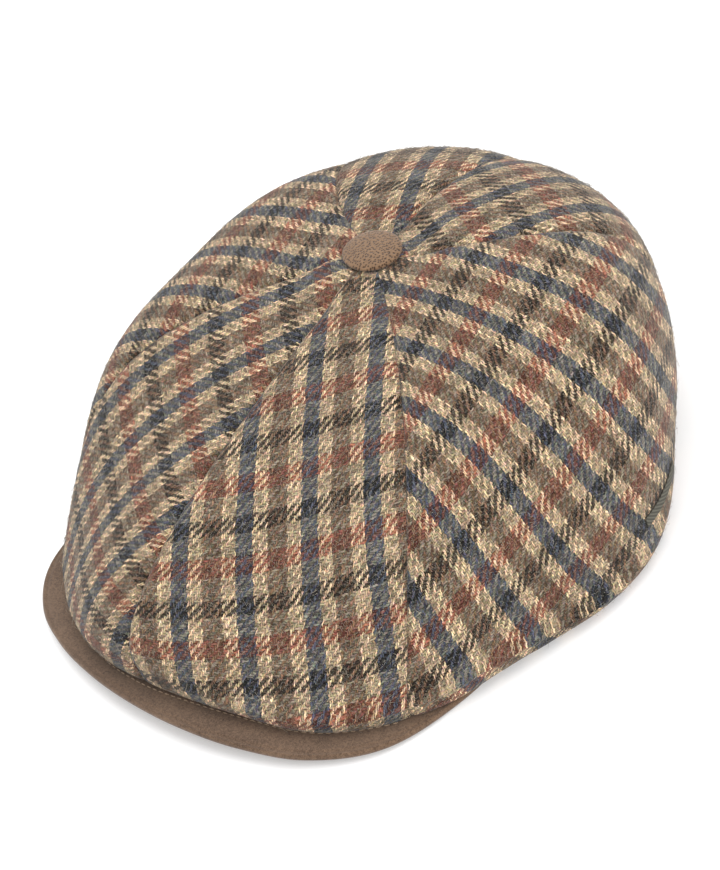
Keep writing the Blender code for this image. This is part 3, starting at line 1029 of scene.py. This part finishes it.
# Waves by which the threads wander, each with its scale and its size in yarns
WARP_WANDER = ((150.0, 1.0), (560.0, 1.8), (1500.0, 0.8))
WEFT_WANDER = ((180.0, 1.0), (640.0, 1.6), (1700.0, 0.8))
# Part of a yarn that keeps a band's colour clear of the band before
BAND_INSET = 0.25 / WEFT_REPEAT
# Noises as scale, detail and roughness, and how fibres lie across and along a yarn
FIBRE_NOISE = (1.0, 2.0, 0.6)
FIBRE_ACROSS, FIBRE_ALONG = 1.6, 0.5
CLOUD_NOISE = (45.0, 2.0)
FLECK_NOISE = (1250.0, 2.0, 0.7)
STRAY_NOISE = (1600.0, 1.0, 0.6)
TINT_NOISE = (1050.0, 1.0)
# How strongly each of them shades the wool, as factor and addend
RANDOM_TONE = (1.0, 0.5)
FIBRE_TONE = 2.0
CLOUD_TONE = (0.4, 0.8)
FLECK_TONE = (1.5, 0.25)
FLECK_LEAST = 0.2
# Painted shade: how strongly the float's height darkens its low edges and ends and the lower weft
PAINTED_FLOAT_SHADE = 1.64
TINT_TONE = (0.65, 0.675)
STRAY_SHARE = (6.0, -3.75)
STRAY_MOST = 0.45
WEAVE_RELIEF = 0.25 * MM
WEAVE_BUMP = 0.8
FIBRE_RELIEF = 0.7


def yarn_colour(g, number, bands, repeat):
    """Colour of the yarn with this number, from bands of (yarn, count)."""
    stops = []
    count = 0
    for name, width in bands:
        stops.append((count / repeat, YARNS[name]))
        count += width
    place = g.math("DIVIDE", g.math("FLOORED_MODULO", number, float(repeat)), float(repeat))
    return g.ramp(g.math("ADD", place, BAND_INSET), stops, "CONSTANT")


def from_float(g, run):
    """Yarns from the middle of the nearest float, and the float's number."""
    distance = g.math("SUBTRACT", g.math("FLOORED_MODULO", run, TWILL), TWILL_HALF)
    return g.math("ABSOLUTE", distance), g.math("FLOOR", g.math("DIVIDE", run, TWILL))


def from_yarn(g, number):
    """Distance from the middle of a yarn, 1 at its edge."""
    return g.math("ABSOLUTE", g.line(g.math("FRACT", number), 2.0, -1.0))


def yarn_fibre(g, u, v, u_stretch, v_stretch):
    """Noise drawn out along a yarn."""
    return g.noise(g.combine(g.times(u, u_stretch), g.times(v, v_stretch)), *FIBRE_NOISE)


def tweed():
    """Two-over-two twill of coloured wool yarns, worked out yarn by yarn."""
    g = Graph("wool_check_twill")
    where = g.place()
    split = g.node("ShaderNodeSeparateXYZ")
    g.link(g.node("ShaderNodeUVMap", uv_map="weave").outputs[0], split.inputs[0])
    u = g.wobble(split.outputs[0], where, WARP_WANDER)
    v = g.wobble(split.outputs[1], where, WEFT_WANDER)

    # Which warp and weft yarn lies here, and where on its float
    wale = g.math("ADD", g.math("SUBTRACT", v, u), TWILL_HALF + 0.5)
    wale = g.math("SUBTRACT", g.math("FLOORED_MODULO", wale, TWILL), TWILL_HALF)
    leaned = g.line(wale, -WARP_LEAN, u)
    i = g.math("FLOOR", leaned)
    j = g.math("FLOOR", v)
    from_warp, warp_float = from_float(g, g.math("ADD", g.math("SUBTRACT", v, i), TWILL_HALF))
    from_weft, weft_float = from_float(g, g.math("SUBTRACT", g.math("SUBTRACT", u, j), 1.0))
    warp_across = g.math("DIVIDE", from_yarn(g, leaned), WARP_FLOAT_WIDTH)
    weft_across = from_yarn(g, v)
    warp_random = g.random(g.combine(i, warp_float))
    weft_random = g.random(g.combine(g.math("ADD", j, 0.5), weft_float))
    half = g.line(warp_random, WARP_FLOAT_SPREAD, WARP_FLOAT_HALF - WARP_FLOAT_SPREAD / 2)
    warp_along = g.math("DIVIDE", from_warp, half)
    weft_along = g.math("DIVIDE", from_weft, WEFT_FLOAT_HALF)
    outline = g.math("ADD", g.math("POWER", warp_along, FLOAT_POWER),
                     g.math("POWER", warp_across, FLOAT_POWER))
    warp_up = g.math("LESS_THAN", outline, 1.0)

    # Colour of the yarn on top, scaled by the colour of the one that it crosses: partly a tinge of
    # its fibres, partly painted shade from the floats beside it
    warp_colour = yarn_colour(g, i, WARP_BANDS, WARP_REPEAT)
    weft_colour = yarn_colour(g, j, WEFT_BANDS, WEFT_REPEAT)
    own = g.mix(warp_up, weft_colour, warp_colour)
    other = g.mix(warp_up, warp_colour, weft_colour)
    keep = g.choose(warp_up, WARP_OWN, WEFT_OWN)
    tinge_and_shade = g.choose(warp_up, WARP_TINGE_AND_SHADE, WEFT_TINGE_AND_SHADE)
    colour = g.mix(1.0, own, g.scale_shift(other, tinge_and_shade, keep), "MULTIPLY")

    # Height of the rounded float, up to 1 on the warp
    across = g.choose(warp_up, warp_across, weft_across)
    along = g.math("MINIMUM", g.choose(warp_up, warp_along, weft_along), 1.0)
    left = g.math("MAXIMUM", g.math("SUBTRACT", 1.0, g.times(across, across)), 0.0)
    arch = g.math("COSINE", g.times(along, math.pi / 2))
    height = g.times(g.math("SQRT", left), g.line(arch, 0.5, 0.5))
    height = g.times(height, g.choose(warp_up, 1.0, WEFT_LEVEL))

    # Light and dark fibres, flecks and stray wool, and painted shade that darkens each float
    # towards its low edges and ends
    fibre = g.choose(warp_up, yarn_fibre(g, u, v, FIBRE_ACROSS, FIBRE_ALONG),
                     yarn_fibre(g, u, v, FIBRE_ALONG, FIBRE_ACROSS))
    fleck = g.noise(where, *FLECK_NOISE)
    tone_and_shade = g.line(g.choose(warp_up, warp_random, weft_random), *RANDOM_TONE)
    tone_and_shade = g.times(tone_and_shade, g.times(fibre, FIBRE_TONE))
    tone_and_shade = g.times(tone_and_shade, g.line(g.noise(where, *CLOUD_NOISE), *CLOUD_TONE))
    tone_and_shade = g.times(tone_and_shade, g.math("MAXIMUM", g.line(fleck, *FLECK_TONE), FLECK_LEAST))
    # Painted shade: each float darker towards its low edges and ends, and the lower weft darker
    tone_and_shade = g.times(tone_and_shade, g.times(height, PAINTED_FLOAT_SHADE))
    colour = g.mix(1.0, colour, g.combine(tone_and_shade, tone_and_shade, tone_and_shade), "MULTIPLY")
    tint = g.scale_shift(g.noise(where, *TINT_NOISE, output="Color"), *TINT_TONE)
    colour = g.mix(1.0, colour, tint, "MULTIPLY")
    stray = g.within(g.line(g.noise(where, *STRAY_NOISE), *STRAY_SHARE), 0.0, STRAY_MOST)
    colour = g.mix(stray, colour, STRAY_FIBRE)
    relief = g.math("ADD", height, g.times(g.math("ADD", fibre, fleck), FIBRE_RELIEF))
    g.bump(relief, WEAVE_RELIEF, WEAVE_BUMP)
    return g.finish(colour, 0.95, Sheen_Weight=0.2, Sheen_Roughness=0.35,
                    Specular_IOR_Level=0.05)


def sewing_thread():
    """Tan thread, twisted, with painted shade: darker in the grooves of its twist and lighter on
    the ridges.
    """
    g = Graph("tan_thread")
    twist = g.wave(THREAD_TWIST)
    # Painted shade: the darker tan lies in the grooves of the twist, the lighter on its ridges
    colour = g.mix(twist, linear(128, 104, 84), linear(186, 162, 136))
    g.bump(twist, 0.05 * MM, 0.6)
    return g.finish(colour, 0.7, Specular_IOR_Level=0.3)


def stray_wool():
    """Fibres of mixed light and dark wool."""
    g = Graph("stray_wool")
    share = g.line(g.noise(g.place(), *WOOL_NOISE), *WOOL_SHARE)
    colour = g.mix(share, WOOL_DARK, WOOL_LIGHT)
    return g.finish(colour, 0.9, Specular_IOR_Level=0.1)


def suede(name, base, dark, speckle):
    """Brushed leather with a soft uneven nap, and with pits if they have a colour."""
    g = Graph(name)
    where = g.place()
    nap = g.noise(where, *NAP_NOISE)
    grain = g.noise(where, *GRAIN_NOISE)
    share = g.line(g.noise(where, *SUEDE_CLOUD_NOISE), SUEDE_CLOUD_SHARE, SUEDE_SHIFT)
    share = g.line(nap, NAP_SHARE, share)
    share = g.line(grain, GRAIN_SHARE, share)
    colour = g.mix(share, dark, base)
    height = g.line(nap, NAP_RELIEF, g.times(grain, 1 - NAP_RELIEF))
    if speckle:
        stretch = g.node("ShaderNodeMapping")
        put(stretch, Scale=PIT_STRETCH, Rotation=(0, 0, PIT_TURN))
        g.link(where, stretch.inputs["Vector"])
        pits = g.node("ShaderNodeTexVoronoi", voronoi_dimensions="2D")
        g.link(stretch.outputs[0], pits.inputs["Vector"])
        put(pits, Scale=PIT_SCALE)
        pit = g.within(g.line(pits.outputs["Distance"], *PIT_SHARE), 0.0, 1.0)
        colour = g.mix(g.times(pit, PIT_MOST), colour, speckle)
        height = g.math("SUBTRACT", height, pit)
    g.bump(height, SUEDE_RELIEF, 0.8)
    return g.finish(colour, 0.92, Sheen_Weight=0.3, Sheen_Roughness=0.5,
                    Specular_IOR_Level=0.2)


def tape():
    """Plain dark woven tape, with painted shade that is lighter on its ribs and darker between
    them, and random blotches.
    """
    g = Graph("dark_tape")
    ribs = g.wave(TAPE_RIBS)
    blotch = g.times(g.noise(g.place(), TAPE_NOISE), 1 - TAPE_RIB_SHADE)
    # Painted shade on the ribs, lighter on their tops and darker between them, mixed with random
    # blotches
    share = g.line(ribs, TAPE_RIB_SHADE, blotch)
    colour = g.mix(share, linear(50, 49, 42), linear(104, 101, 91))
    g.bump(ribs, 0.12 * MM, 0.7)
    return g.finish(colour, 0.85, Specular_IOR_Level=0.25)


def make_stage():
    """Pale floor and soft studio light."""
    g = Graph("studio_white")
    put(g.shader, Emission_Color=(1, 1, 1, 1), Emission_Strength=FLOOR_GLOW)
    white = g.finish(FLOOR_COLOUR, 0.9, Specular_IOR_Level=0.1)
    corners = [(x * FLOOR_HALF, y * FLOOR_HALF, 0)
               for x, y in ((-1, -1), (1, -1), (1, 1), (-1, 1))]
    new_piece("studio_floor", corners, [(0, 1, 2, 3)], white)
    world = bpy.data.worlds.new("studio")
    bpy.context.scene.world = world
    world.use_nodes = True
    put(world.node_tree.nodes["Background"], Color=(1, 1, 1, 1), Strength=SKY_STRENGTH)
    for name, place, size, power in LAMPS:
        light = bpy.data.lights.new(name, "AREA")
        light.shape = "DISK"
        light.size = size
        light.energy = power
        lamp = place_object(name, light)
        lamp.location = place
        lamp.rotation_mode = "QUATERNION"
        lamp.rotation_quaternion = (LAMP_TARGET - Vector(place)).to_track_quat("-Z", "Y")


def make_camera():
    """Camera at the photograph's viewing angle."""
    sin, cos = math.sin(CAMERA_AZIMUTH), math.cos(CAMERA_AZIMUTH)
    flat = math.cos(CAMERA_ELEVATION)
    back = Vector((sin * flat, -cos * flat, math.sin(CAMERA_ELEVATION)))
    level = Vector((cos, sin, 0))
    upright = back.cross(level)
    right = level * math.cos(CAMERA_ROLL) + upright * math.sin(CAMERA_ROLL)
    up = upright * math.cos(CAMERA_ROLL) - level * math.sin(CAMERA_ROLL)
    data = bpy.data.cameras.new("photo_camera")
    data.sensor_width = 36.0
    data.lens = FOCAL_PIXELS * data.sensor_width / PHOTO_HEIGHT
    data.shift_x = (PHOTO_WIDTH / 2 - TARGET_PIXEL_X) / PHOTO_HEIGHT
    data.shift_y = (TARGET_PIXEL_Y - PHOTO_HEIGHT / 2) / PHOTO_HEIGHT
    camera = place_object("photo_camera", data)
    camera.matrix_world = Matrix.Translation(CAMERA_TARGET + back * CAMERA_DISTANCE) @ Matrix(
        ((right.x, up.x, back.x), (right.y, up.y, back.y), (right.z, up.z, back.z))
    ).to_4x4()
    bpy.context.scene.camera = camera


def main():
    """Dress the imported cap."""
    cloth = tweed()
    fibre = stray_wool()
    for name in PANELS:
        make_panel(name, cloth, fibre)
    make_peak(suede("brown_suede", linear(123, 99, 79), linear(66, 49, 37), None))
    make_button(suede("pale_suede", linear(137, 109, 83), linear(106, 81, 59), linear(50, 31, 18)))
    make_label(tape())
    make_stitches(sewing_thread())
    make_stage()
    make_camera()
    bpy.context.scene.view_settings.view_transform = "Standard"


main()
